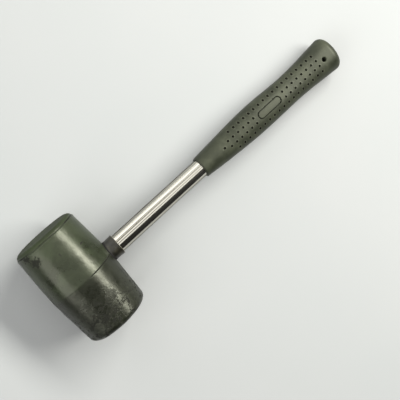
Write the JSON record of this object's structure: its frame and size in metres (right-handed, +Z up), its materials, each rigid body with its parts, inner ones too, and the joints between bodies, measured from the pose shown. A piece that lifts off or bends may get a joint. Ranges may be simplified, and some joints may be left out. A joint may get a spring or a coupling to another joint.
{
  "type": "rubber mallet",
  "caption": "Rubber mallet with a barrel-shaped head and two flat striking faces, on a plated tubular steel handle with a dimpled rubber grip and a hang hole.",
  "frame": {"origin": "bottom centre of the bounding box: the mallet lies on its side, the lower half of its barrel and the edge of its butt on z = 0", "axes": "+X from the head towards the butt, +Y along the head towards its upper striking face, +Z up"},
  "size_m": [0.3293, 0.0982, 0.0629],
  "materials": {
    "head_rubber": "moulded, matt with a soft sheen",
    "collar_rubber": "moulded, matt",
    "plated_tube": "bright plated over a drawn lengthwise grain",
    "expander_steel": "turned, oiled",
    "cap_rubber": "moulded, matt",
    "grip_rubber": "moulded, matt",
    "plug_plastic": "moulded"
  },
  "bodies": {
    "root": {"head": "head_rubber", "neck_collar": "collar_rubber", "handle_tube": "plated_tube", "flare_cone": "expander_steel", "crown_cap": "cap_rubber", "grip": "grip_rubber", "butt_plug": "plug_plastic"}
  },
  "joints": []
}
